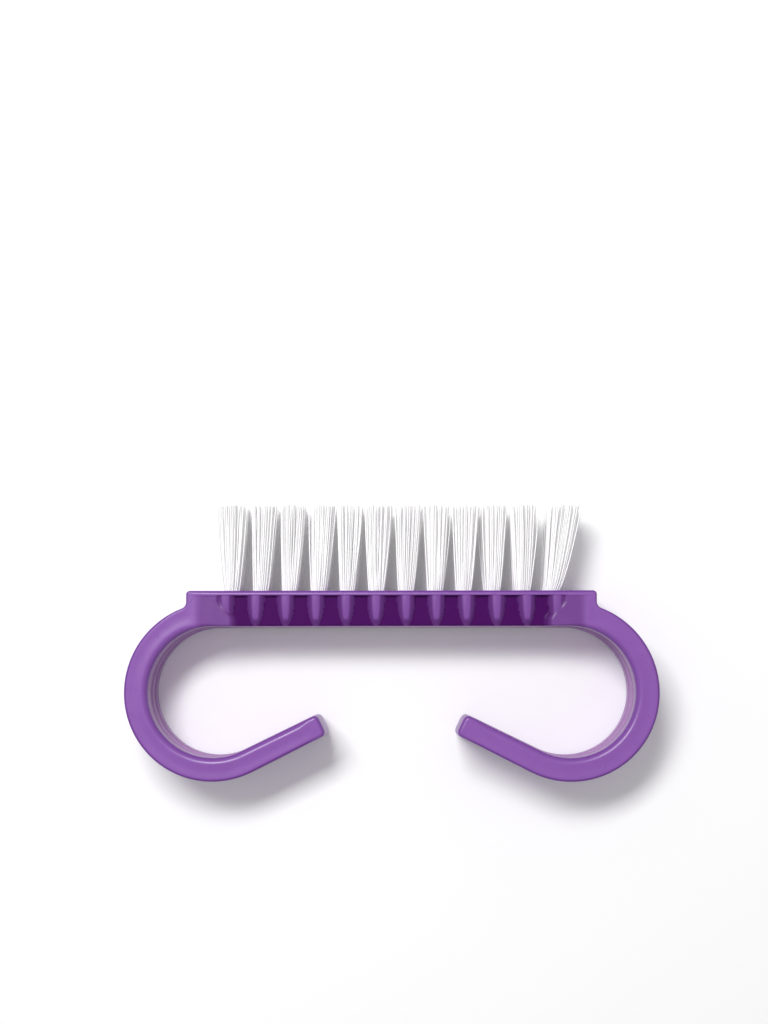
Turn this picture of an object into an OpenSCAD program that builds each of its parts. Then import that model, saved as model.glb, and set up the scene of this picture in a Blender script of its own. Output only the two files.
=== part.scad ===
// Nail brush with two finger hooks, lying on one of its side faces as it does on a shelf.
// X runs along the bar, Y from the hooks towards the bristle tips, and Z through the depth
// of the brush. The origin is the middle of its base. Every length is in millimetres.

/* [Bar] */
// Length of the bar that carries the bristles
bar_l = 68.5; // [66:0.5:72]
// Thickness of the bar, from the bristle face to the finger side
bar_t = 6; // [5.6:0.1:8]
// Depth of the brush, from one side face to the other
brush_d = 13; // [12:0.5:16]
// Radius at both ends of the bristle face
face_end_r = 0.6; // [0.3:0.1:1]
// Radius of the upright corners of the bar ends
bar_end_r = 1.5; // [0.8:0.1:2.5]
// Radius along the long edges of the moulding
edge_r = 0.7; // [0.4:0.1:0.8]

/* [Hooks] */
// Inner radius of a finger hook
hook_r = 10.9; // [9:0.1:13]
// Thickness of the band that forms a hook
band_t = 4.1; // [3:0.1:5]
// Distance from the end of the bar in to the centre of a hook
hook_inset = 4.45; // [3.5:0.05:4.7]
// Length of the straight arm past the round of a hook
arm_l = 14.2; // [10:0.2:18]
// Angle between an arm and the bar, in degrees
arm_a = 26.3; // [20:0.1:35]
// Radius of the corners of an arm tip
arm_tip_r = 1.1; // [0.4:0.1:1.4]

/* [Side ribs] */
// Thickness of the lip along the bristle face
lip_t = 0.9; // [0.6:0.1:1.4]
// Depth of the recess in each side of the bar
recess_t = 0.87; // [0.82:0.01:1.05]
// Distance from the end of the bar to the recess
recess_inset = 4.75; // [4.7:0.05:4.85]
// Radius in the corners of the recess
recess_corner_r = 0.8; // [0.3:0.1:1.2]
// Radius of a rib at the lip
rib_r = 2.3; // [2:0.05:2.35]
// Radius of a rib at the finger side
rib_tip_r = 1.66; // [1.5:0.01:1.8]

/* [Bristles] */
// Number of tufts in a row
tufts_per_row = 12; // [8:1:12]
// Number of rows
rows = 3; // [2:1:3]
// Distance from the end of the bar to the first tuft
row_inset = 7.2; // [7.1:0.1:9]
// Distance from a side face to the outer row
row_margin = 2.6; // [2.4:0.1:3]
// Radius of a tuft hole
hole_r = 1.2; // [1.1:0.05:1.3]
// Depth of a tuft hole
hole_depth = 4.6; // [4:0.1:5]
// Length of the bristles above the bar
tuft_l = 14.6; // [10:0.2:18]
// Radius of the circle round a strand's corners
strand_r = 0.25; // [0.15:0.01:0.25]
// How far the end tufts lean outwards at their tips
end_lean = 1.3; // [0:0.1:2]

/* [Wire anchors] */
// How far an anchor bites into each side of its hole
anchor_bite = 0.15; // [0.05:0.05:0.25]
// Height of an anchor along the hole
anchor_h = 1.3; // [1:0.1:1.8]
// Thickness of the anchor wire
anchor_t = 0.3; // [0.2:0.05:0.4]
// Thickness of the fold of bristles under an anchor
fold_t = 0.6; // [0.4:0.1:1]

/* [Hidden] */
$fn = 32;
plastic_colour = [0.46, 0.25, 0.62];
bristle_colour = [0.96, 0.95, 0.97];
wire_colour = [0.72, 0.70, 0.64];

// Cuts run this far past the faces that they open
overrun = 1;
// Flat steps in a rounded corner
corner_steps = 3;
// Clearance of a bristle root in its hole, and of an anchor in its groove
root_gap = 0.05;
anchor_gap = 0.02;
// The packed root of a tuft ends this far below the bristle face
root_top = 0.3;

// Flat sides of a tuft hole, and of the packed root in it
hole_sides = 12;
root_sides = 8;

// Strands stand in two rings
outer_strands = 8;
inner_strands = 3;
strand_sides = 3;
// The inner ring's radius, as a share of the outer's
inner_ring_share = 0.44;
// A tuft's tip fills this share of the room between its neighbours
tip_fill_share = 0.88;
// Where a strand bends, as a share of its length, and the share of its spread reached there
bend_height_share = 0.42;
bend_spread_share = 0.33;
// Side step of a strand's tip out of its even place, and the angle from one strand to the next
stray = 0.1;
stray_turn = 137.5;

// The brush measures this much from its hooks to its bristle tips
brush_w = tuft_l + bar_t + 2 * hook_r + band_t;
face_y = brush_w / 2 - tuft_l;
finger_y = face_y - bar_t;
hook_x = bar_l / 2 - hook_inset;
hook_y = finger_y - hook_r;
recess_l = bar_l - 2 * recess_inset;

tuft_pitch = (bar_l - 2 * row_inset) / (tufts_per_row - 1);
row_pitch = (brush_d - 2 * row_margin) / (rows - 1);
root_r = hole_r * cos(180 / hole_sides) - root_gap;
outer_ring_r = root_r - strand_r - root_gap;
tip_spread_x = tip_fill_share * tuft_pitch / 2 - strand_r;
tip_spread_z = tip_fill_share * min(row_pitch / 2, row_margin) - strand_r;
anchor_w = 2 * (hole_r + anchor_bite);

row_names = ["bottom", "middle", "top"];
tuft_columns = [0 : tufts_per_row - 1];
tuft_rows = [0 : rows - 1];

function tuft_x(column) = (column - (tufts_per_row - 1) / 2) * tuft_pitch;
function row_z(row) = row_margin + row * row_pitch;
function tuft_name(row, column) = str("tuft_", row_names[row], "_", column + 1);
function anchors_name(row) = str("anchors_", row_names[row], "_row");

// Points of one rounded corner, turning a quarter from the given angle
function corner(x, y, r, angle) = [
    for (step = [0 : corner_steps])
        let (a = angle + 90 * step / corner_steps)
        [x + r * cos(a), y + r * sin(a)]
];

// A rectangle with its low corner at the origin and all four corners rounded
function rounded(w, h, r) = concat(
    corner(w - r, h - r, r, 0),
    corner(r, h - r, r, 90),
    corner(r, r, r, 180),
    corner(w - r, r, r, 270)
);

// The same rectangle with only its two far corners rounded
function rounded_above(w, h, r) = concat(
    corner(w - r, h - r, r, 0),
    corner(r, h - r, r, 90),
    [[0, 0], [w, 0]]
);

// The section of the band, which runs on through both hooks, their arms and the bar
module band_section() {
    polygon(rounded(band_t, brush_d, edge_r));
}

// The finger side of the bar: the band between the two hooks
module bar_band() {
    translate([-hook_x, finger_y, 0])
        rotate([90, 0, 90])
            linear_extrude(2 * hook_x)
                band_section();
}

// The bristle side of the bar, from the middle of the band up to the bristle face
module bar_block() {
    block_t = bar_t - band_t / 2;
    translate([-bar_l / 2, face_y - block_t, 0])
        intersection() {
            linear_extrude(brush_d)
                polygon(rounded_above(bar_l, block_t, face_end_r));
            translate([0, block_t, 0])
                rotate([90, 0, 0])
                    linear_extrude(block_t)
                        polygon(rounded(bar_l, brush_d, bar_end_r));
            translate([bar_l, 0, 0])
                rotate([0, -90, 0])
                    linear_extrude(bar_l)
                        polygon(rounded_above(brush_d, block_t, edge_r));
        }
}

// The shallow recess in the lower side face, open towards the fingers
module side_recess() {
    translate([-recess_l / 2, finger_y - overrun, -overrun])
        linear_extrude(recess_t + overrun)
            polygon(rounded(recess_l, bar_t - lip_t + overrun, recess_corner_r));
}

module in_both_sides() {
    children();
    translate([0, 0, brush_d])
        mirror([0, 0, 1])
            children();
}

// Ribs are the tapered walls round the outer rows of holes, where they stand out of the recess
module lower_ribs() {
    for (column = tuft_columns)
        translate([tuft_x(column), face_y - lip_t, row_margin])
            rotate([90, 0, 0])
                cylinder(h = bar_t - lip_t, r1 = rib_r, r2 = rib_tip_r);
}

// The straight end of a hook, in the frame of the hook's round: X outwards, -Y onwards
module arm() {
    intersection() {
        translate([hook_r, 0, 0])
            rotate([90, 0, 0])
                linear_extrude(arm_l)
                    band_section();
        translate([hook_r, -arm_l, 0])
            linear_extrude(brush_d)
                polygon(rounded(band_t, arm_l + 2 * arm_tip_r, arm_tip_r));
        translate([hook_r, -arm_l, 0])
            rotate([90, 0, 90])
                linear_extrude(band_t)
                    polygon(rounded(arm_l + 2 * edge_r, brush_d, edge_r));
    }
}

// One finger hook: it leaves the bar level, goes round and comes back as the arm
module right_hook() {
    translate([hook_x, hook_y, 0])
        rotate([0, 0, -90 - arm_a]) {
            rotate_extrude(angle = 180 + arm_a, $fn = 96)
                translate([hook_r, 0])
                    band_section();
            arm();
        }
}

module tuft_hole() {
    rotate([90, 0, 0])
        translate([0, 0, -overrun])
            cylinder(h = hole_depth + overrun, r = hole_r, $fn = hole_sides);
}

// The groove that a wire anchor cuts on its way down the hole
module anchor_groove() {
    groove_w = anchor_w + 2 * anchor_gap;
    groove_t = anchor_t + 2 * anchor_gap;
    groove_l = hole_depth - fold_t + anchor_gap;
    translate([-groove_w / 2, -groove_l, -groove_t / 2])
        cube([groove_w, groove_l + overrun, groove_t]);
}

module at_tuft(row, column) {
    translate([tuft_x(column), face_y, row_z(row)])
        children();
}

// The moulding: bar, ribs and both hooks in one piece, with a blind hole for each tuft
module body() {
    color(plastic_colour)
        difference() {
            union() {
                difference() {
                    union() {
                        bar_band();
                        bar_block();
                    }
                    in_both_sides() side_recess();
                }
                in_both_sides() lower_ribs();
                right_hook();
                mirror([1, 0, 0]) right_hook();
            }
            for (row = tuft_rows)
                for (column = tuft_columns)
                    at_tuft(row, column) {
                        tuft_hole();
                        anchor_groove();
                    }
        }
}

// A flat piece of wire across the hole, which holds the fold of bristles down
module anchor(gap = 0) {
    translate([-anchor_w / 2 - gap, fold_t - hole_depth - gap, -anchor_t / 2 - gap])
        cube([anchor_w + 2 * gap, anchor_h + 2 * gap, anchor_t + 2 * gap]);
}

module anchors(row) {
    color(wire_colour)
        for (column = tuft_columns)
            at_tuft(row, column) anchor();
}

// Corners of a strand where it passes the given height
function strand_ring(centre, height, angle) = [
    for (side = [0 : strand_sides - 1])
        let (a = angle + 360 * side / strand_sides)
        [centre.x + strand_r * cos(a), height, centre.y + strand_r * sin(a)]
];

// Two triangles between corner i and the next, from the given ring to the one above
function strand_side(ring, i) =
    let (
        a = ring * strand_sides + i,
        b = ring * strand_sides + (i + 1) % strand_sides
    )
    [[a, b, b + strand_sides], [a, b + strand_sides, a + strand_sides]];

strand_faces = concat(
    [[0, 2, 1]],
    [for (ring = [0, 1]) for (i = [0 : strand_sides - 1]) each strand_side(ring, i)],
    [[6, 7, 8]]
);

// A strand in two straight lengths, from the top of the root to the flat cut at the tip
module strand(ring_share, angle, lean, turn) {
    way = [cos(angle), sin(angle)];
    start = outer_ring_r * ring_share * way;
    tip = [
        lean + tip_spread_x * ring_share * way.x + stray * sin(turn),
        tip_spread_z * ring_share * way.y + stray * cos(turn)
    ];
    bend = start + bend_spread_share * (tip - start);
    polyhedron(
        points = concat(
            strand_ring(start, -root_top, angle),
            strand_ring(bend, bend_height_share * tuft_l, angle),
            strand_ring(tip, tuft_l, angle)
        ),
        faces = strand_faces
    );
}

// One tuft: its folded root fills the hole round the anchor and holds all its strands
module tuft(row, column) {
    outwards = 2 * column / (tufts_per_row - 1) - 1;
    lean = end_lean * pow(outwards, 3);
    first_turn = stray_turn * (row * tufts_per_row + column);
    color(bristle_colour)
        at_tuft(row, column) {
            difference() {
                translate([0, -root_top, 0])
                    rotate([90, 180 / root_sides, 0])
                        cylinder(h = hole_depth - root_top, r = root_r, $fn = root_sides);
                anchor(anchor_gap);
            }
            for (i = [0 : outer_strands - 1])
                strand(1, 360 * (i + 0.5) / outer_strands, lean, first_turn + stray_turn * i);
            for (i = [0 : inner_strands - 1])
                strand(inner_ring_share, 360 * i / inner_strands, lean, first_turn - stray_turn * i);
        }
}

body();
for (row = tuft_rows)
    for (column = tuft_columns)
        tuft(row, column);
for (row = tuft_rows)
    anchors(row);
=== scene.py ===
import random
from collections import namedtuple
from math import atan2, cos, pi, radians, sin, sqrt

import bmesh
import bpy
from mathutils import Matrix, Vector


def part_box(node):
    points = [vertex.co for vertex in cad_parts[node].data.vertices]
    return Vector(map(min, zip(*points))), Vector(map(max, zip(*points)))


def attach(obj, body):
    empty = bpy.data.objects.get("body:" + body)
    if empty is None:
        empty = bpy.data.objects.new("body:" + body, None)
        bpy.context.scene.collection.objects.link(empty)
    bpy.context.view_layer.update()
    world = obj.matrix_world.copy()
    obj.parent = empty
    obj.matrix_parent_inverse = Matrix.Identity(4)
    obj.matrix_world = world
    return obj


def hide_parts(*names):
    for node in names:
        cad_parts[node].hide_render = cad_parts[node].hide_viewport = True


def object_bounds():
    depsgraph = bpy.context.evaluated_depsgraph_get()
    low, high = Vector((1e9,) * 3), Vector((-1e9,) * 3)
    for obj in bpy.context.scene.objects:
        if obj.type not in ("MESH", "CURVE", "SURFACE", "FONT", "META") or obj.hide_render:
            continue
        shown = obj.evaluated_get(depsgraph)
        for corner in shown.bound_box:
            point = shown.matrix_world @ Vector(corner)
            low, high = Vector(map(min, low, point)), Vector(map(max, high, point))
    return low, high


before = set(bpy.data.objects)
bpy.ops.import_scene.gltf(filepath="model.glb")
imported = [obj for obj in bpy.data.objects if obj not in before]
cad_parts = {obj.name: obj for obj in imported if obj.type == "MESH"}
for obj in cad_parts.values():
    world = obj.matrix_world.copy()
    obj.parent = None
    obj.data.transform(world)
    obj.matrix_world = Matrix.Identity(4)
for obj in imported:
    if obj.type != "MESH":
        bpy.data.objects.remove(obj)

cad_low, cad_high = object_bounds()


# The moulding: one shot of purple polypropylene that is the bar, both finger hooks and
# the tapered ribs round the outer rows of holes. The mould parts at mid depth, so its walls
# are thickest there and carry a fine bead, and its long edges are rounded.

mm = 0.001
body_low, body_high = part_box("body")
depth = body_high.z - body_low.z
mid_z = depth / 2
bristle_y = body_high.y
bar_thickness = 6 * mm
bar_end_x = 34.5 * mm
bar_corner = 0.7 * mm
finger_y = bristle_y - bar_thickness

hook_inner = 10.9 * mm
band = 4.09 * mm
hook_outer = hook_inner + band
hook_x = body_high.x - hook_outer
hook_y = finger_y - hook_inner
neck_fillet = 1.1 * mm
neck_slant = radians(2)
arm_turn = radians(-116.3)
arm_length = 14.2 * mm
arm_taper = 0.12 * mm
tip_length = 1.35 * mm
tip_squareness = 3.6
tip_bulge = 0.28 * mm
tip_blend = 3 * mm
tip_sweep = radians(78)
tip_sweep_power = 1.4

# The sunk side faces, from the lip under the bristles to the finger side
lip = 0.9 * mm
recess_depth = 0.87 * mm
recess_end_x = 29.5 * mm
recess_wall = 0.24 * mm
recess_run_share = 0.8
ramp_end_x = 27.2 * mm
ramp_run = 1.8 * mm
ramp_below = 1.6 * mm
ramp_blend = 3.4 * mm
shelf_end_x = 33.2 * mm
shelf_end_run = 1.6 * mm
shelf_bottom = 8 * mm
shelf_bottom_run = 1.5 * mm
shelf_depth = 0.12 * mm
# Share of the pockets' painted shade that the shallow shelf takes
shelf_painted_shade = 0.42

# The ribs in the pockets, which taper from the lip down
rib_pitch = 5.06 * mm
rib_count = 12
rib_half_at_lip = 1.55 * mm
rib_half_at_end = 0.42 * mm
rib_rise_at_lip = 0.8 * mm
rib_rise_at_end = 0.3 * mm
rib_taper_power = 2.6
rib_roundness = 0.6
# How the pockets' painted shade lies on a rib: most on its flanks and least on its lit crown, whose
# lighter share fades out near the finger side
crown_half_share = 0.42
crown_fade_from = 0.7
crown_fade = 0.6
crown_end = 5.1 * mm
crown_end_fade = 0.6 * mm
rib_fillet = 0.12 * mm
flank_painted_shade = 0.72
crown_painted_shade = 0.22

# The radii of the rounded edges
bristle_edge = 0.55 * mm
block_edge = 0.35 * mm
outer_edge = 0.5 * mm
recess_edge = 0.26 * mm
inner_edge = 1.05 * mm
inner_edge_from = 28 * mm
inner_edge_run = 9 * mm
tip_edge = 0.62 * mm
# Shares of the painted shade along the rounded edges: on the inner edges, and on the outer edges at
# the arms' tips
inner_edge_painted_shade = 0.45
tip_edge_painted_shade = 0.5
crease_angle = radians(38)

# The relief of the walls, by distance from mid depth, and the shallow dish of the hooks' faces
channel = 0.27 * mm
channel_from_x = 24 * mm
channel_run = 6 * mm
channel_low = 0.45 * mm
channel_low_run = 0.23 * mm
channel_high = 3.42 * mm
channel_high_run = 0.27 * mm
bead_rise = 0.06 * mm
bead_half = 0.06 * mm
bead_run = 0.16 * mm
draft = 0.04 * mm
face_sink = 0.05 * mm

# How closely the band is cut across, along each stretch of it
bar_cut = 0.17 * mm
bar_cut_end_x = recess_end_x - 1 * mm
bar_end_cuts = 14
block_cuts = 6
corner_cuts = 8
block_side_cuts = 3
fillet_cuts = 8
hook_cuts = 78
edge_change_cuts = 8
arm_cuts = 16
tip_cuts = 10

# One cut across the band: a point on its outer side and one on its inner side, with the
# direction into the plastic and the radius of the edge at each, and how much of each feature
# it carries, from 0 to 1.
Slice = namedtuple("Slice", "outer outer_way outer_r inner inner_way inner_r recess channels bead tip")


def polar(angle, r=1.0):
    """The point at an angle and a distance from the origin."""
    return Vector((cos(angle), sin(angle))) * r


def mix(a, b, t):
    """The value that is the share t of the way from a to b."""
    return a + (b - a) * t


def ease(t):
    """A smooth rise from 0 to 1, level before and after."""
    t = min(max(t, 0.0), 1.0)
    return t * t * (3 - 2 * t)


def steps(first, last, count):
    """Evenly spaced values after the first one, up to and including the last."""
    return [mix(first, last, (i + 1) / count) for i in range(count)]


hook_centre = Vector((hook_x, hook_y))
fillet_x = bar_end_x + neck_fillet
fillet_reach = hook_outer + neck_fillet
fillet_centre = Vector((fillet_x, hook_y + sqrt(fillet_reach ** 2 - (fillet_x - hook_x) ** 2)))
neck_angle = atan2(fillet_centre.y - hook_y, fillet_centre.x - hook_x)
inner_neck_angle = neck_angle - neck_slant
arm_side = polar(arm_turn)
arm_way = polar(arm_turn - pi / 2)


def inner_radius(run):
    """Radius of the inner edge: small along the pockets, large once the hook has turned."""
    return mix(recess_edge, inner_edge, ease((run - inner_edge_from) / inner_edge_run))


def bar_slices():
    """Half of the bar, from its middle to where the hook starts to turn."""
    places = [i * bar_cut for i in range(int(bar_cut_end_x / bar_cut) + 1)]
    places += steps(places[-1], hook_x, bar_end_cuts)
    made = []
    for x in places:
        made.append(Slice(
            Vector((x, bristle_y)), Vector((0, -1)), bristle_edge,
            Vector((x, finger_y)), Vector((0, 1)), inner_radius(x),
            recess=1.0, channels=ease((x - channel_from_x) / channel_run), bead=0.0, tip=0.0,
        ))
    return made


def block_outline():
    """The outside of the bar's end, from above the hook's centre down to the hook's round."""
    line = []
    corner_centre = Vector((bar_end_x - bar_corner, bristle_y - bar_corner))
    for x in steps(hook_x, corner_centre.x, block_cuts):
        line.append((Vector((x, bristle_y)), Vector((0, -1))))
    for angle in steps(pi / 2, 0, corner_cuts):
        line.append((corner_centre + polar(angle, bar_corner), -polar(angle)))
    for y in steps(corner_centre.y, fillet_centre.y, block_side_cuts):
        line.append((Vector((bar_end_x, y)), Vector((-1, 0))))
    for angle in steps(pi, pi + neck_angle, fillet_cuts):
        line.append((fillet_centre + polar(angle, neck_fillet), polar(angle)))
    return line


def hook_slices():
    """The end of the bar, the round of the hook, its arm and the arm's rounded tip."""
    made = []
    outline = block_outline()
    inner_angles = steps(pi / 2, inner_neck_angle, len(outline))
    for i, ((point, way), angle) in enumerate(zip(outline, inner_angles)):
        along = (i + 1) / len(outline)
        made.append(Slice(
            point, way, mix(bristle_edge, block_edge, ease(2 * along)),
            hook_centre + polar(angle, hook_inner), polar(angle),
            inner_radius(hook_x + hook_inner * (pi / 2 - angle)),
            recess=0.0, channels=1.0, bead=ease(2 * along - 1), tip=0.0,
        ))

    outer_angles = steps(neck_angle, arm_turn, hook_cuts)
    inner_angles = steps(inner_neck_angle, arm_turn, hook_cuts)
    for i, (out, inn) in enumerate(zip(outer_angles, inner_angles)):
        made.append(Slice(
            hook_centre + polar(out, hook_outer), -polar(out),
            mix(block_edge, outer_edge, ease(i / edge_change_cuts)),
            hook_centre + polar(inn, hook_inner), polar(inn),
            inner_radius(hook_x + hook_inner * (pi / 2 - inn)),
            recess=0.0, channels=1.0, bead=1.0, tip=0.0,
        ))

    outer_start = hook_centre + arm_side * hook_outer
    inner_start = hook_centre + arm_side * hook_inner
    straight = arm_length - tip_length
    for s in steps(0, straight, arm_cuts):
        near_tip = ease((s - straight + tip_blend) / tip_blend)
        pinch = arm_side * arm_taper * s / arm_length
        made.append(Slice(
            outer_start + arm_way * s - pinch, -arm_side, mix(outer_edge, tip_edge, near_tip),
            inner_start + arm_way * s + pinch, arm_side, mix(inner_edge, tip_edge, near_tip),
            recess=0.0, channels=1 - near_tip, bead=1 - near_tip, tip=near_tip,
        ))

    tip_centre = (outer_start + inner_start) / 2 + arm_way * straight
    tip_half = band / 2 - arm_taper
    for t in steps(0, 1, tip_cuts):
        angle = tip_sweep * t ** tip_sweep_power
        side, along = cos(angle), sin(angle)
        round_side = arm_side * tip_half * side ** (2 / tip_squareness)
        round_along = arm_way * tip_length * along ** (2 / tip_squareness)
        lean_side = arm_side * side ** (2 - 2 / tip_squareness) / tip_half
        lean_along = arm_way * along ** (2 - 2 / tip_squareness) / tip_length
        made.append(Slice(
            tip_centre + round_along + round_side, -(lean_along + lean_side).normalized(), tip_edge,
            tip_centre + round_along - round_side, -(lean_along - lean_side).normalized(), tip_edge,
            recess=0.0, channels=0.0, bead=0.0, tip=1.0,
        ))
    return made


def rib_rise(x, down):
    """Height of the nearest rib above the pocket's floor, and how near its crown is, 0 to 1."""
    middle = (rib_count - 1) / 2
    nearest = (round(x / rib_pitch + middle) - middle) * rib_pitch
    t = min(max((down - lip) / (bar_thickness - lip), 0.0), 1.0) ** rib_taper_power
    half = mix(rib_half_at_lip, rib_half_at_end, t)
    aside = min(abs(x - nearest) / half, 1.0)
    rise = mix(rib_rise_at_lip, rib_rise_at_end, t) * (1 - aside ** 2) ** rib_roundness
    crown = 1 - ease((aside / crown_half_share - crown_fade_from) / crown_fade)
    return rise, crown * ease((crown_end - down) / crown_end_fade)


def shelf_share(x, down):
    """1 on the shallow shelf that runs from under the lip to past the last ribs, and 0 off it."""
    short_of_end = ease((shelf_end_x - abs(x)) / shelf_end_run)
    above_bottom = ease((shelf_bottom - down) / shelf_bottom_run)
    return short_of_end * above_bottom * ease((down - lip + recess_wall / 2) / recess_wall)


def side_point(x, down):
    """Height of a side face above mid depth, and its painted shade from 0 to 1: full on a pocket's
    floor, less on the ribs, a little on the shelf.
    """
    below = ease((down - ramp_below) / ramp_blend)
    end_x = mix(recess_end_x, ramp_end_x, below)
    end_run = mix(recess_run_share * ramp_run, ramp_run, below)
    sunk = ease((down - lip + recess_wall / 2) / recess_wall) * ease((end_x - abs(x)) / end_run)
    shelf = shelf_share(x, down)
    floor = mid_z - mix(shelf_depth * shelf, recess_depth, sunk)
    rise, crown = rib_rise(x, down)
    rib = mid_z - recess_depth + rise
    blended = max(rib_fillet - abs(floor - rib), 0.0) ** 2 / (4 * rib_fillet)
    deep = mix(1.0, mix(flank_painted_shade, crown_painted_shade, crown), ease((rib - floor) / rib_fillet))
    return min(max(floor, rib) + blended, mid_z), mix(shelf_painted_shade * shelf, deep, sqrt(sunk))


# Places across a side face, in mm from the bristle side, closest together round the lip. The
# first is where the bristle edge ends. The last and the edge beside the pockets add up to the
# bar's thickness.
face_places = [0.55, 0.63, 0.7, 0.76, 0.81, 0.86, 0.9, 0.94, 0.99, 1.05, 1.14, 1.28]
face_places += [1.44 + 0.21 * i for i in range(20)]
face_places += [5.55, 5.66, 5.74]
face_shares = [(p - face_places[0]) / (face_places[-1] - face_places[0]) for p in face_places]

# From this share of the way across, the bar's face levels out to meet the inner edge
level_from_share = 0.93
level_run_share = 0.07

# Places up a wall, closest together at the bead and the channels, and round the edge above it
wall_levels = [level * mm for level in (0, 0.08, 0.2, 0.45, 0.56, 0.68, 1.9, 3.15, 3.28, 3.42, 4.4)]
round_angles = [radians(angle) for angle in (0, 16, 33, 50, 67, 80, 90)]


def side_wall(height, edge_r, relief):
    """Points of one wall from mid depth up to its rounded edge: height, inset, edge share."""
    wall = []
    for level in wall_levels:
        wall.append((level, relief(level) + draft * level / mid_z, 0.0))
    top_inset = relief(height - edge_r) + draft
    for angle in round_angles:
        wall.append((height - edge_r + edge_r * sin(angle),
                     top_inset + edge_r * (1 - cos(angle)), sin(2 * angle)))
    return wall


def ring_of(cut):
    """Closed ring of points round one slice, with its marks: painted shade in the pockets and along
    the edges, and painted reflection on the inner walls.
    """
    def inner_relief(level):
        above = ease((level - channel_low) / channel_low_run)
        below = ease((channel_high - level) / channel_high_run)
        return channel * cut.channels * above * below

    def outer_relief(level):
        return bead_rise * cut.bead * ease((level - bead_half) / bead_run)

    def face_point(point):
        down = bristle_y - point.y
        if cut.recess == 0:
            shelf = shelf_share(point.x, down)
            return mid_z - shelf_depth * shelf, shelf_painted_shade * shelf
        return side_point(point.x, down)

    inner_height, inner_mark = face_point(cut.inner + cut.inner_way * cut.inner_r / 2)
    outer = side_wall(mid_z, cut.outer_r, outer_relief)
    inner = side_wall(inner_height, cut.inner_r, inner_relief)

    outer_top = cut.outer + cut.outer_way * outer[-1][1]
    inner_top = cut.inner + cut.inner_way * inner[-1][1]
    face = []
    for share in face_shares[1:-1]:
        point = outer_top.lerp(inner_top, share)
        height, mark = face_point(point)
        if cut.recess == 0:
            height -= face_sink * (4 * share * (1 - share)) ** 2 * cut.bead
        else:
            levelled = ease((share - level_from_share) / level_run_share)
            height = mix(height, min(height, inner_height), levelled)
        face.append((point, height, (mark, 0.0, 0.0)))

    # The outer edges' painted shade, halved towards the arms' tips; the inner walls' last mark is
    # their painted reflection
    outer_edge_painted_shade = mix(1.0, tip_edge_painted_shade, cut.tip)
    half = []
    for h, inset, edge in outer:
        half.append((cut.outer + cut.outer_way * inset, h, (0.0, edge * outer_edge_painted_shade, 0.0)))
    half += face
    for i, (h, inset, edge) in enumerate(reversed(inner)):
        marks = (inner_mark, edge * inner_edge_painted_shade * (1 - inner_mark), 0.0)
        if i >= len(round_angles):
            marks = (0.0, 0.0, 1 - cut.tip)
        half.append((cut.inner + cut.inner_way * inset, h, marks))

    ring = []
    for side, line in ((1, half), (-1, half[-2:0:-1])):
        for point, height, marks in line:
            point = point - arm_way * tip_bulge * cut.tip * (height / mid_z) ** 2
            ring.append(((point.x, point.y, mid_z + side * height), marks))
    return ring


def moulding_mesh():
    """The moulding without its holes: a ring of points for each cut, from arm end to arm end."""
    right = [ring_of(cut) for cut in bar_slices() + hook_slices()]
    left = [[((-x, y, z), marks) for (x, y, z), marks in ring] for ring in right[:0:-1]]
    rings = left + right
    size = len(rings[0])
    upper_half = size // 2 + 1

    mesh = bpy.data.meshes.new("body_moulding")
    points = [point for ring in rings for point in ring]
    faces = []
    for r in range(len(rings) - 1):
        for i in range(size):
            j = (i + 1) % size
            faces.append((r * size + i, r * size + j, (r + 1) * size + j, (r + 1) * size + i))

    rows = len(wall_levels) + len(round_angles)
    for r, flip in ((0, True), (len(rings) - 1, False)):
        around = [r * size + i for i in range(size)]
        for line, turn in ((around, flip), ([around[0]] + around[:0:-1], not flip)):
            outer = line[:rows]
            across = line[rows:upper_half - rows]
            inner = line[upper_half - rows:upper_half][::-1]
            # A strip for each level closes the arm's end, and the last takes in the side face
            end = [[outer[k], outer[k + 1], inner[k + 1], inner[k]] for k in range(rows - 2)]
            end.append(outer[-2:] + across + inner[-2:][::-1])
            faces += [tuple(face[::-1] if turn else face) for face in end]
    mesh.from_pydata([place for place, _ in points], [], faces)
    # The marks: painted shade in the pockets and on the ribs, painted shade along the edges, and
    # painted reflection on the inner walls
    for i, name in enumerate(("recess", "edge", "wall")):
        mark = mesh.attributes.new(name, "FLOAT", "POINT")
        mark.data.foreach_set("value", [marks[i] for _, marks in points])
    return mesh


# The blind holes. Each pair of mouth shares is a level above the bristle face, or below it
# where it is negative, and how much wider than the flare the hole is there, both as shares of
# the mouth's radius.
row_names = ("bottom", "middle", "top")
row_count = len(row_names)
row_inset = 2.6 * mm
row_step = (depth - 2 * row_inset) / (row_count - 1)
hole_count = rib_count
tuft_pitch = 4.918 * mm
hole_radius = 1.3 * mm
hole_depth = 4.6 * mm
hole_cuts = 20
anchor_half = 1.37 * mm
anchor_slot = 0.17 * mm
slot_corner_share = 1.3
hole_flare = 0.12 * mm
flare_depth = 1.2 * mm
hole_mouth = 0.1 * mm
mouth_shares = ((-2.2, 0), (-1.2, 0.12), (-0.4, 0.5), (0, 1), (10, 1))


def tuft_place(row, column):
    """Middle of a hole's mouth on the bristle face."""
    x = (column - (hole_count - 1) / 2) * tuft_pitch
    return Vector((x, bristle_y, row_inset + row * row_step))


def hole_outline(wider):
    """The round hole with the slot that the wire anchor cuts on either side."""
    radius = hole_radius + wider
    first = atan2(slot_corner_share * anchor_slot, hole_radius)
    turn = [first] + steps(first, pi - first, hole_cuts)
    upper = [(anchor_half + wider, anchor_slot)]
    upper += [(radius * cos(angle), radius * sin(angle)) for angle in turn]
    upper.append((-anchor_half - wider, anchor_slot))
    return upper + [(-x, -z) for x, z in upper]


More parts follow.
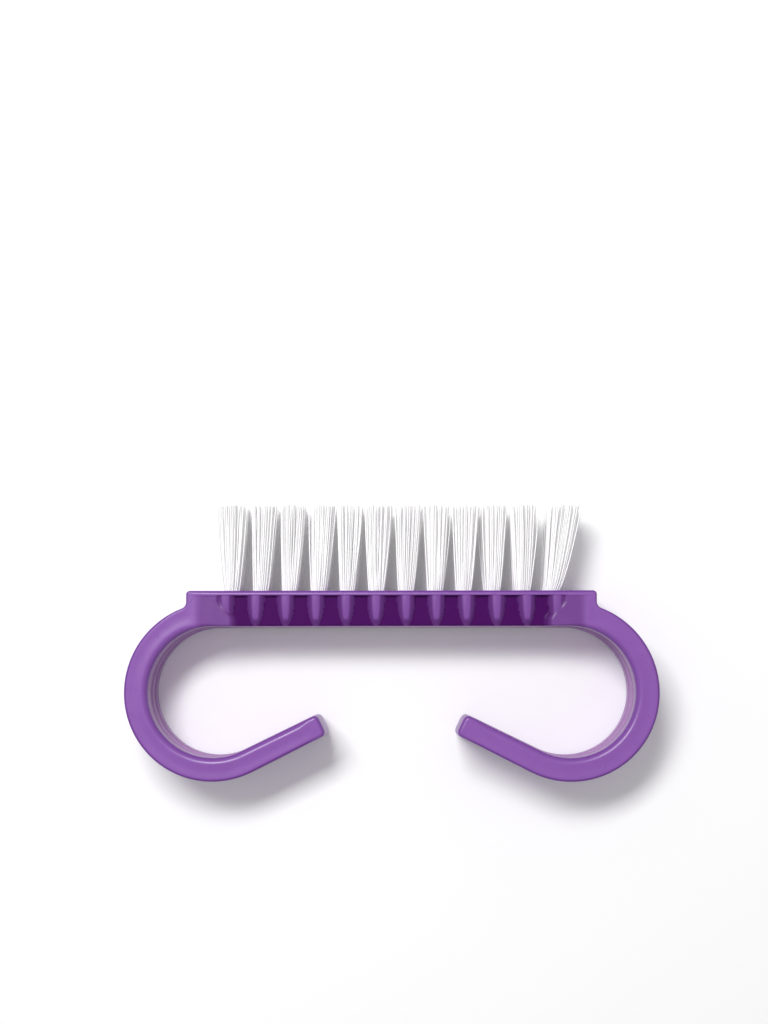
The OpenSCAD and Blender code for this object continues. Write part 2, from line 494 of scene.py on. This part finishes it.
def hole_cutters():
    """All the holes as one mesh of closed plugs, each flared and rounded at its mouth."""
    levels = [(-hole_depth, 0.0), (-flare_depth, 0.0)]
    for rise, wider in mouth_shares:
        levels.append((rise * hole_mouth, hole_flare + wider * hole_mouth))
    points = []
    faces = []
    for row in range(row_count):
        for column in range(hole_count):
            place = tuft_place(row, column)
            first = len(points)
            for rise, wider in levels:
                outline = hole_outline(wider)
                points += [(place.x + x, place.y + rise, place.z + z) for x, z in outline]
            size = len(outline)
            for level in range(len(levels) - 1):
                for i in range(size):
                    a = first + level * size + i
                    b = first + level * size + (i + 1) % size
                    faces.append((a, b, b + size, a + size))
            faces.append(tuple(range(first + size - 1, first - 1, -1)))
            last = first + (len(levels) - 1) * size
            faces.append(tuple(range(last, last + size)))
    mesh = bpy.data.meshes.new("hole_cutters")
    mesh.from_pydata(points, [], faces)
    return mesh


def settle(piece):
    """Puts the result of a piece's modifiers into its own mesh."""
    bpy.context.view_layer.update()
    made = piece.evaluated_get(bpy.context.evaluated_depsgraph_get())
    mesh = bpy.data.meshes.new_from_object(made)
    piece.modifiers.clear()
    piece.data = mesh


def cut_holes(piece):
    """Cuts all the plugs out of the moulding, which is one closed body."""
    cutters = bpy.data.objects.new("hole_cutters", hole_cutters())
    bpy.context.scene.collection.objects.link(cutters)
    drill = piece.modifiers.new("tuft_holes", "BOOLEAN")
    drill.operation = "DIFFERENCE"
    drill.solver = "EXACT"
    drill.object = cutters
    settle(piece)
    bpy.data.objects.remove(cutters)


def outward(mesh):
    """Turns every face of a closed mesh to the outside."""
    work = bmesh.new()
    work.from_mesh(mesh)
    bmesh.ops.recalc_face_normals(work, faces=work.faces)
    work.to_mesh(mesh)
    work.free()


def purple_plastic():
    """Moulded polypropylene: satin on the flats, with painted shade in the pockets, on the ribs and
    along the edges, where the shine is turned down too, and a pale painted reflection on the rougher
    inner walls."""
    material = bpy.data.materials.new("purple_polypropylene")
    material.use_nodes = True
    nodes = material.node_tree.nodes
    link = material.node_tree.links.new
    shader = nodes["Principled BSDF"]
    shader.inputs["IOR"].default_value = 1.49

    place = nodes.new("ShaderNodeTexCoord")
    cloud = nodes.new("ShaderNodeTexNoise")
    cloud.inputs["Scale"].default_value = 170
    cloud.inputs["Detail"].default_value = 4
    link(place.outputs["Object"], cloud.inputs["Vector"])
    tone = nodes.new("ShaderNodeValToRGB")
    tone.color_ramp.elements[0].position = 0.3
    tone.color_ramp.elements[0].color = (0.216, 0.070, 0.356, 1)
    tone.color_ramp.elements[1].position = 0.72
    tone.color_ramp.elements[1].color = (0.236, 0.080, 0.380, 1)
    link(cloud.outputs["Fac"], tone.inputs["Fac"])

    # Painted shade: the pockets, the ribs and the shallow shelf are mixed towards a darker purple
    recess = nodes.new("ShaderNodeAttribute")
    recess.attribute_name = "recess"
    pocket = nodes.new("ShaderNodeMix")
    pocket.data_type = "RGBA"
    pocket.inputs["B"].default_value = (0.060, 0.003, 0.098, 1)
    link(recess.outputs["Fac"], pocket.inputs["Factor"])
    link(tone.outputs["Color"], pocket.inputs["A"])

    edge = nodes.new("ShaderNodeAttribute")
    edge.attribute_name = "edge"
    edge_middle = nodes.new("ShaderNodeMath")
    edge_middle.operation = "POWER"
    edge_middle.inputs[1].default_value = 2
    link(edge.outputs["Fac"], edge_middle.inputs[0])
    # The shine is turned down where the painted shade lies, in the pockets and at the middle of the
    # rounded edges
    painted_shade_share = nodes.new("ShaderNodeMath")
    painted_shade_share.operation = "MAXIMUM"
    link(recess.outputs["Fac"], painted_shade_share.inputs[0])
    link(edge_middle.outputs["Value"], painted_shade_share.inputs[1])
    shine = nodes.new("ShaderNodeMapRange")
    shine.inputs["To Min"].default_value = 0.5
    shine.inputs["To Max"].default_value = 0.06
    link(painted_shade_share.outputs["Value"], shine.inputs["Value"])
    link(shine.outputs["Result"], shader.inputs["Specular IOR Level"])

    # Painted shade along the rounded edges, mixed towards a deeper purple
    turned = nodes.new("ShaderNodeMapRange")
    turned.inputs["To Max"].default_value = 0.75
    link(edge.outputs["Fac"], turned.inputs["Value"])
    painted_edge_shade = nodes.new("ShaderNodeMix")
    painted_edge_shade.data_type = "RGBA"
    painted_edge_shade.inputs["B"].default_value = (0.130, 0.030, 0.245, 1)
    link(turned.outputs["Result"], painted_edge_shade.inputs["Factor"])
    link(pocket.outputs["Result"], painted_edge_shade.inputs["A"])

    # Painted reflection: the inner walls are mixed towards a pale lavender, as if they mirrored the
    # pale table at a slant
    wall = nodes.new("ShaderNodeAttribute")
    wall.attribute_name = "wall"
    painted_reflection_share = nodes.new("ShaderNodeMapRange")
    painted_reflection_share.inputs["To Max"].default_value = 0.85
    link(wall.outputs["Fac"], painted_reflection_share.inputs["Value"])
    side = nodes.new("ShaderNodeMix")
    side.data_type = "RGBA"
    side.inputs["B"].default_value = (0.42, 0.25, 0.47, 1)
    link(painted_reflection_share.outputs["Result"], side.inputs["Factor"])
    link(painted_edge_shade.outputs["Result"], side.inputs["A"])
    link(side.outputs["Result"], shader.inputs["Base Color"])

    handling = nodes.new("ShaderNodeTexNoise")
    handling.inputs["Scale"].default_value = 700
    handling.inputs["Detail"].default_value = 3
    link(place.outputs["Object"], handling.inputs["Vector"])
    dull = nodes.new("ShaderNodeMapRange")
    dull.inputs["From Min"].default_value = 0.3
    dull.inputs["From Max"].default_value = 0.7
    dull.inputs["To Min"].default_value = 0.27
    dull.inputs["To Max"].default_value = 0.34
    link(handling.outputs["Fac"], dull.inputs["Value"])
    duller = nodes.new("ShaderNodeMath")
    duller.operation = "MULTIPLY_ADD"
    duller.inputs[1].default_value = 0.1
    link(wall.outputs["Fac"], duller.inputs[0])
    link(dull.outputs["Result"], duller.inputs[2])
    link(duller.outputs["Value"], shader.inputs["Roughness"])

    grain = nodes.new("ShaderNodeTexNoise")
    grain.inputs["Scale"].default_value = 4200
    grain.inputs["Detail"].default_value = 2
    link(place.outputs["Object"], grain.inputs["Vector"])
    bump = nodes.new("ShaderNodeBump")
    bump.inputs["Strength"].default_value = 0.3
    bump.inputs["Distance"].default_value = 0.000006
    link(grain.outputs["Fac"], bump.inputs["Height"])
    link(bump.outputs["Normal"], shader.inputs["Normal"])
    return material


moulding = bpy.data.objects.new("body_moulding", moulding_mesh())
bpy.context.scene.collection.objects.link(moulding)
outward(moulding.data)
cut_holes(moulding)
moulding.data.shade_smooth()
moulding.data.set_sharp_from_angle(angle=crease_angle)
moulding.data.materials.clear()
moulding.data.materials.append(purple_plastic())
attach(moulding, "root")
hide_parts("body")


# The bristles: 36 tufts of white nylon. Each is a bundle of strands folded double and driven
# into its hole over a flat wire, then trimmed level, so both ends of every strand stand up
# out of the hole and splay a little on their own.

strand_radius = 0.115 * mm
strand_sides = 5
strand_crease_angle = radians(75)
bundle_radius = 1.17 * mm
bundle_places = 84
golden_turn = radians(137.508)
trim_room = 0.03 * mm
tuft_reach = cad_high.y - bristle_y - trim_room
mouth_spread = 1.12
splay_x = 2.3 * mm
splay_z = 1.9 * mm
splay_power = 0.75
free_splay = 1.25
lean = 0.45 * mm
first_lean = -0.15 * mm
last_lean = 2.7 * mm
strand_shares = (0.0, 0.06, 0.16, 0.3, 0.48, 0.68, 0.86, 1.0)

# The strand inside its hole, folded under the anchor
anchor_low_depth = 4.0 * mm
anchor_top_depth = 2.7 * mm
anchor_room = 0.27 * mm
straight_depth = 1.0 * mm
fold_least = 0.12 * mm
fold_more = 0.36 * mm

# How unlike the strands are: where their ends stand, how they bow and how many are loose
end_scatter_x = 0.13 * mm
end_scatter_z = 0.1 * mm
trim_scatter = 0.1 * mm
trim_limit = 0.45 * mm
bow_x = 0.1 * mm
bow_z = 0.08 * mm
lean_scatter = 0.1 * mm
loose_share = 0.05
looseness = 2.4


def leg(draw, root, side, tuft_lean, tuft_splay):
    """One half of a strand, from beside the wire anchor up to its trimmed end."""
    x, z = root
    spread = Vector((x, 0, side * z)) / bundle_radius
    loose = looseness if draw.random() < loose_share else 1.0
    end = Vector((
        tuft_lean + tuft_splay * spread.x + loose * draw.gauss(0, end_scatter_x),
        tuft_reach - min(abs(draw.gauss(0, trim_scatter)), trim_limit),
        splay_z * spread.z + loose * draw.gauss(0, end_scatter_z),
    ))
    bow = Vector((draw.gauss(0, bow_x), 0, draw.gauss(0, bow_z))) * loose
    start = Vector((x, 0, side * z)) * mouth_spread
    beside = Vector((x, -anchor_top_depth, side * max(z, anchor_room)))
    below = Vector((x, -anchor_low_depth, side * max(z, anchor_room)))
    points = [below, beside, Vector((x, -straight_depth, side * z))]
    for share in strand_shares:
        point = start.lerp(end, share ** splay_power)
        point.y = end.y * share
        points.append(point + bow * sin(pi * share) * share)
    return points


def fold(root):
    """The turn under the wire anchor that joins a strand's two legs."""
    x, z = root
    wide = max(z, anchor_room)
    deep = fold_least + fold_more * z / bundle_radius
    turn = []
    for angle in (0.25 * pi, 0.5 * pi, 0.75 * pi):
        turn.append(Vector((x, -anchor_low_depth - deep * sin(angle), wide * cos(angle))))
    return turn


def add_tube(points, faces, path, radius, sides):
    """A round strand along a path of points, closed at both ends."""
    first = len(points)
    across = Vector((1, 0, 0))
    for i, point in enumerate(path):
        way = (path[min(i + 1, len(path) - 1)] - path[max(i - 1, 0)]).normalized()
        across = (across - way * across.dot(way)).normalized()
        up = way.cross(across)
        for side in range(sides):
            a = 2 * pi * side / sides
            points.append(point + (across * cos(a) + up * sin(a)) * radius)
    for ring in range(len(path) - 1):
        for side in range(sides):
            a = first + ring * sides + side
            b = first + ring * sides + (side + 1) % sides
            faces.append((a, b, b + sides, a + sides))
    last = first + (len(path) - 1) * sides
    faces.append(tuple(range(first + sides - 1, first - 1, -1)))
    faces.append(tuple(range(last, last + sides)))


def tuft_mesh(name, row, column):
    """All the strands of one tuft, with a shade for each. Their places lie on a spiral over the
    hole's round, and a strand takes one above the anchor and the one across from it. The end
    tufts splay more, as they have room on one side."""
    draw = random.Random(100 * row + column)
    place = tuft_place(row, column)
    end_lean = {0: first_lean, hole_count - 1: last_lean}
    tuft_lean = end_lean.get(column, lean) + draw.gauss(0, lean_scatter)
    tuft_splay = splay_x * (free_splay if column in end_lean else 1)
    points = []
    faces = []
    tones = []
    start = draw.uniform(0, 2 * pi)
    for i in range(bundle_places):
        reach = bundle_radius * sqrt((i + 0.5) / bundle_places)
        x = reach * cos(start + golden_turn * i)
        z = reach * sin(start + golden_turn * i)
        if z < strand_radius / 2:
            continue
        path = leg(draw, (x, z), 1, tuft_lean, tuft_splay)[::-1] + fold((x, z))
        path += leg(draw, (x, z), -1, tuft_lean, tuft_splay)
        before = len(points)
        add_tube(points, faces, [place + p for p in path], strand_radius, strand_sides)
        tones += [draw.random()] * (len(points) - before)
    mesh = bpy.data.meshes.new(name)
    mesh.from_pydata(points, [], faces)
    tone = mesh.attributes.new("tone", "FLOAT", "POINT")
    tone.data.foreach_set("value", tones)
    mesh.shade_smooth()
    mesh.set_sharp_from_angle(angle=strand_crease_angle)
    return mesh


def white_nylon():
    """Milky white nylon with a satin shine along each strand. The faint emission stands in for
    the light that the strands pass on to each other."""
    material = bpy.data.materials.new("white_nylon")
    material.use_nodes = True
    nodes = material.node_tree.nodes
    link = material.node_tree.links.new
    shader = nodes["Principled BSDF"]
    shader.inputs["IOR"].default_value = 1.53
    shader.inputs["Emission Color"].default_value = (1, 1, 1, 1)
    shader.inputs["Emission Strength"].default_value = 0.05

    tone = nodes.new("ShaderNodeAttribute")
    tone.attribute_name = "tone"
    place = nodes.new("ShaderNodeTexCoord")
    stretch = nodes.new("ShaderNodeMapping")
    stretch.inputs["Scale"].default_value = (4000, 300, 4000)
    link(place.outputs["Object"], stretch.inputs["Vector"])
    streaks = nodes.new("ShaderNodeTexNoise")
    streaks.inputs["Scale"].default_value = 1
    streaks.inputs["Detail"].default_value = 2
    link(stretch.outputs["Vector"], streaks.inputs["Vector"])
    blend = nodes.new("ShaderNodeMath")
    blend.operation = "MULTIPLY"
    link(tone.outputs["Fac"], blend.inputs[0])
    link(streaks.outputs["Fac"], blend.inputs[1])
    milk = nodes.new("ShaderNodeValToRGB")
    milk.color_ramp.elements[0].position = 0.1
    milk.color_ramp.elements[0].color = (0.99, 0.987, 0.99, 1)
    milk.color_ramp.elements[1].position = 0.6
    milk.color_ramp.elements[1].color = (0.94, 0.925, 0.94, 1)
    link(blend.outputs["Value"], milk.inputs["Fac"])
    link(milk.outputs["Color"], shader.inputs["Base Color"])

    satin = nodes.new("ShaderNodeMapRange")
    satin.inputs["To Min"].default_value = 0.3
    satin.inputs["To Max"].default_value = 0.5
    link(streaks.outputs["Fac"], satin.inputs["Value"])
    link(satin.outputs["Result"], shader.inputs["Roughness"])
    bump = nodes.new("ShaderNodeBump")
    bump.inputs["Strength"].default_value = 0.2
    bump.inputs["Distance"].default_value = 0.00001
    link(streaks.outputs["Fac"], bump.inputs["Height"])
    link(bump.outputs["Normal"], shader.inputs["Normal"])
    return material


nylon = white_nylon()
for row, row_name in enumerate(row_names):
    for column in range(hole_count):
        node = f"tuft_{row_name}_{column + 1}"
        tuft = bpy.data.objects.new(f"nylon_{node}", tuft_mesh(f"nylon_{node}", row, column))
        bpy.context.scene.collection.objects.link(tuft)
        tuft.data.materials.append(nylon)
        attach(tuft, "root")
        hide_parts(node)


# The wire anchors: short pieces of flat steel wire, one across the bottom of each hole. Each is
# pushed in with its tuft and bites into the hole's wall, which is all that holds the bristles.
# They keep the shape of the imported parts.

def flat_wire():
    """Tinned steel wire, drawn lengthwise, with a dull bright finish."""
    material = bpy.data.materials.new("tinned_wire")
    material.use_nodes = True
    nodes = material.node_tree.nodes
    link = material.node_tree.links.new
    shader = nodes["Principled BSDF"]
    shader.inputs["Metallic"].default_value = 1.0
    place = nodes.new("ShaderNodeTexCoord")
    drawn = nodes.new("ShaderNodeMapping")
    drawn.inputs["Scale"].default_value = (600, 9000, 9000)
    link(place.outputs["Object"], drawn.inputs["Vector"])
    lines = nodes.new("ShaderNodeTexNoise")
    lines.inputs["Scale"].default_value = 1
    lines.inputs["Detail"].default_value = 3
    link(drawn.outputs["Vector"], lines.inputs["Vector"])
    metal = nodes.new("ShaderNodeValToRGB")
    metal.color_ramp.elements[0].color = (0.46, 0.44, 0.38, 1)
    metal.color_ramp.elements[1].color = (0.66, 0.64, 0.58, 1)
    link(lines.outputs["Fac"], metal.inputs["Fac"])
    link(metal.outputs["Color"], shader.inputs["Base Color"])
    shine = nodes.new("ShaderNodeMapRange")
    shine.inputs["To Min"].default_value = 0.25
    shine.inputs["To Max"].default_value = 0.45
    link(lines.outputs["Fac"], shine.inputs["Value"])
    link(shine.outputs["Result"], shader.inputs["Roughness"])
    bump = nodes.new("ShaderNodeBump")
    bump.inputs["Strength"].default_value = 0.3
    bump.inputs["Distance"].default_value = 0.00001
    link(lines.outputs["Fac"], bump.inputs["Height"])
    link(bump.outputs["Normal"], shader.inputs["Normal"])
    return material


wire = flat_wire()
for row_name in row_names:
    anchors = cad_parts[f"anchors_{row_name}_row"]
    anchors.data.materials.clear()
    anchors.data.materials.append(wire)


# The table top, the light and the camera: a white matt sheet that keeps the brush's soft
# shadow, one soft lamp above the upper left, pale surroundings, and a camera close above the
# brush, as the photograph was taken.

table_half = 0.9
table_drop = 0.01 * mm
table_corners = ((-1, -1), (1, -1), (1, 1), (-1, 1))

# The lens, from its focal length in pixels of the photograph
picture_height = 1024
focal_pixels = 1560
sensor = 36


def background_rays(tree):
    """1 for the rays that show what is behind the brush, and 0 for those that only light it."""
    path = tree.nodes.new("ShaderNodeLightPath")
    seen = path.outputs["Is Camera Ray"]
    for other in ("Is Glossy Ray", "Is Transmission Ray"):
        either = tree.nodes.new("ShaderNodeMath")
        either.operation = "MAXIMUM"
        tree.links.new(seen, either.inputs[0])
        tree.links.new(path.outputs[other], either.inputs[1])
        seen = either.outputs["Value"]
    return seen


def white_sheet():
    """Smooth white card with a faint tooth."""
    material = bpy.data.materials.new("white_sheet")
    material.use_nodes = True
    tree = material.node_tree
    shader = tree.nodes["Principled BSDF"]
    shader.inputs["Roughness"].default_value = 0.85
    shader.inputs["Base Color"].default_value = (0.94, 0.94, 0.94, 1)
    shader.inputs["Emission Color"].default_value = (1, 1, 1, 1)
    lift = tree.nodes.new("ShaderNodeMapRange")
    lift.inputs["To Max"].default_value = 0.07
    tree.links.new(background_rays(tree), lift.inputs["Value"])
    tree.links.new(lift.outputs["Result"], shader.inputs["Emission Strength"])
    tooth = tree.nodes.new("ShaderNodeTexNoise")
    tooth.inputs["Scale"].default_value = 2000
    bump = tree.nodes.new("ShaderNodeBump")
    bump.inputs["Strength"].default_value = 0.1
    bump.inputs["Distance"].default_value = 0.00001
    tree.links.new(tooth.outputs["Fac"], bump.inputs["Height"])
    tree.links.new(bump.outputs["Normal"], shader.inputs["Normal"])
    return material


table_mesh = bpy.data.meshes.new("table_top")
corners = [(x * table_half, y * table_half, -table_drop) for x, y in table_corners]
table_mesh.from_pydata(corners, [], [(0, 1, 2, 3)])
table = bpy.data.objects.new("table_top", table_mesh)
bpy.context.scene.collection.objects.link(table)
table.data.materials.append(white_sheet())

world = bpy.data.worlds.new("pale_room")
bpy.context.scene.world = world
world.use_nodes = True
room = world.node_tree.nodes["Background"]
room.inputs["Color"].default_value = (1, 1, 1, 1)
room_light = world.node_tree.nodes.new("ShaderNodeMapRange")
room_light.inputs["To Min"].default_value = 0.4
room_light.inputs["To Max"].default_value = 1.0
world.node_tree.links.new(background_rays(world.node_tree), room_light.inputs["Value"])
world.node_tree.links.new(room_light.outputs["Result"], room.inputs["Strength"])

lamp = bpy.data.objects.new("soft_lamp", bpy.data.lights.new("soft_lamp", "AREA"))
lamp.data.shape = "RECTANGLE"
lamp.data.size = 0.24
lamp.data.size_y = 0.13
lamp.data.energy = 2.37
lamp.location = (-0.13, 0.218, 0.5)
lamp.rotation_euler = (-lamp.location).to_track_quat("-Z", "Y").to_euler()
bpy.context.scene.collection.objects.link(lamp)

camera = bpy.data.objects.new("camera", bpy.data.cameras.new("camera"))
camera.location = (2.93 * mm, -5.26 * mm, 274.4 * mm)
camera.rotation_euler = (radians(5.912), radians(0.902), radians(-0.043))
camera.data.sensor_width = sensor
camera.data.lens = sensor * focal_pixels / picture_height
camera.data.clip_start = 0.01
bpy.context.scene.collection.objects.link(camera)
bpy.context.scene.camera = camera
bpy.context.scene.view_settings.view_transform = "Standard"
